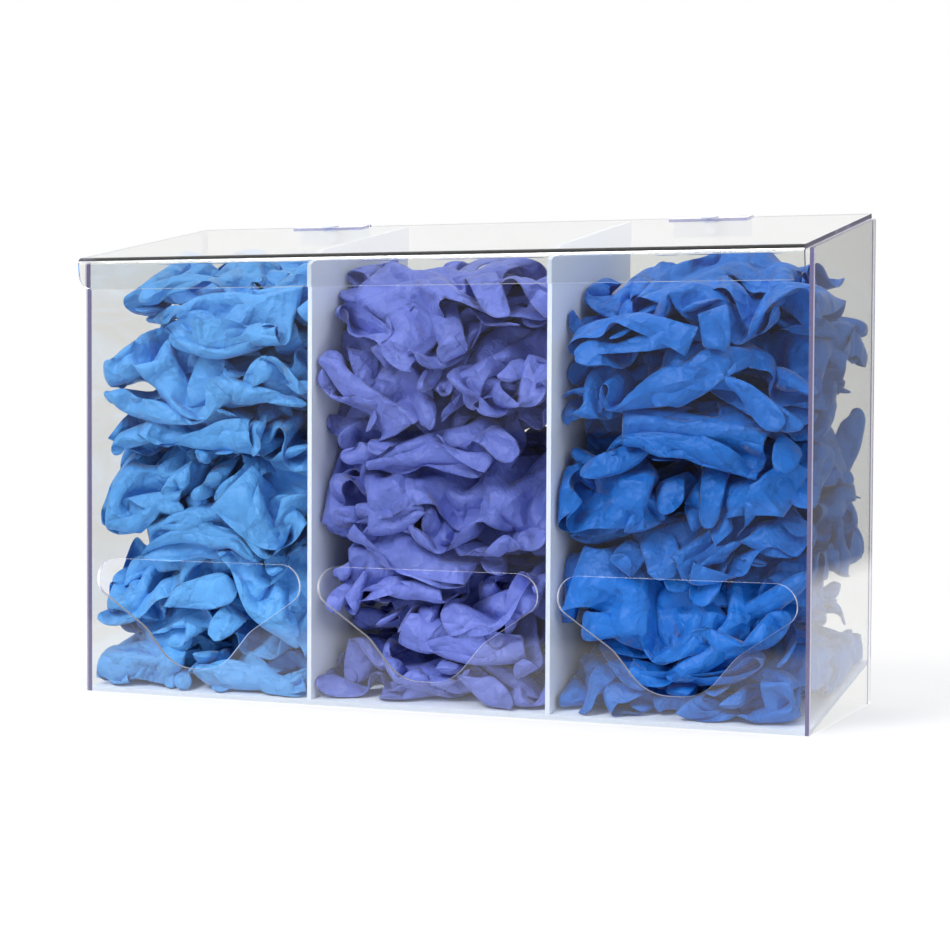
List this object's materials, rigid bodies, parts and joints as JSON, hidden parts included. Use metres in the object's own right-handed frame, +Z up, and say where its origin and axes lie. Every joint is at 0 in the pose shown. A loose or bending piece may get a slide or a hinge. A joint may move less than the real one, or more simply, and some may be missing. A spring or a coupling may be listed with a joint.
{
  "type": "disposable glove dispenser",
  "caption": "Clear box dispenser for loose disposable gloves, with white sloped floor and dividers, a hinged lid and scoop-shaped hand openings at the front.",
  "frame": {"origin": "under the middle of the overall width and depth, on the surface that the box stands on", "axes": "+Z up, front towards -Y, +X to the right as seen from the front"},
  "size_m": [0.508, 0.1794, 0.328],
  "materials": {
    "clear_sheet": "clear, glossy sheet with polished edges",
    "white_sheet": "white, finely textured sheet",
    "clear_hinge": "clear moulded plastic",
    "pin": "drawn wire",
    "rivet": "clear moulded plastic",
    "left_gloves": "matt, thin, sky blue",
    "middle_gloves": "matt, thin, violet blue",
    "right_gloves": "matt, thin, royal blue"
  },
  "bodies": {
    "box": {"front_panel": "clear_sheet", "left_side_panel": "clear_sheet", "right_side_panel": "clear_sheet", "back_panel": "clear_sheet", "sloped_floor": "white_sheet", "left_divider": "white_sheet", "right_divider": "white_sheet", "back_leaf_left": "clear_hinge", "hinge_pin_left": "pin", "back_rivet_left": "rivet", "back_leaf_right": "clear_hinge", "hinge_pin_right": "pin", "back_rivet_right": "rivet", "left_glove_1": "left_gloves", "left_glove_2": "left_gloves", "left_glove_3": "left_gloves", "left_glove_4": "left_gloves", "left_glove_5": "left_gloves", "left_glove_6": "left_gloves", "left_glove_7": "left_gloves", "left_glove_8": "left_gloves", "left_glove_9": "left_gloves", "left_glove_10": "left_gloves", "left_glove_11": "left_gloves", "left_glove_12": "left_gloves", "middle_glove_1": "middle_gloves", "middle_glove_2": "middle_gloves", "middle_glove_3": "middle_gloves", "middle_glove_4": "middle_gloves", "middle_glove_5": "middle_gloves", "middle_glove_6": "middle_gloves", "middle_glove_7": "middle_gloves", "middle_glove_8": "middle_gloves", "middle_glove_9": "middle_gloves", "middle_glove_10": "middle_gloves", "middle_glove_11": "middle_gloves", "middle_glove_12": "middle_gloves", "right_glove_1": "right_gloves", "right_glove_2": "right_gloves", "right_glove_3": "right_gloves", "right_glove_4": "right_gloves", "right_glove_5": "right_gloves", "right_glove_6": "right_gloves", "right_glove_7": "right_gloves", "right_glove_8": "right_gloves", "right_glove_9": "right_gloves", "right_glove_10": "right_gloves", "right_glove_11": "right_gloves", "right_glove_12": "right_gloves"},
    "lid": {"lid": "clear_sheet", "lid_leaf_left": "clear_hinge", "lid_leaf_right": "clear_hinge", "lid_rivet_left": "rivet", "lid_rivet_right": "rivet"}
  },
  "joints": [
    {"name": "lid_hinge", "type": "hinge", "parent": "box", "child": "lid", "pos_m": [0, 0.08665, 0.32579], "axis": [-1, 0, 0], "range_deg": [0, 98]}
  ]
}
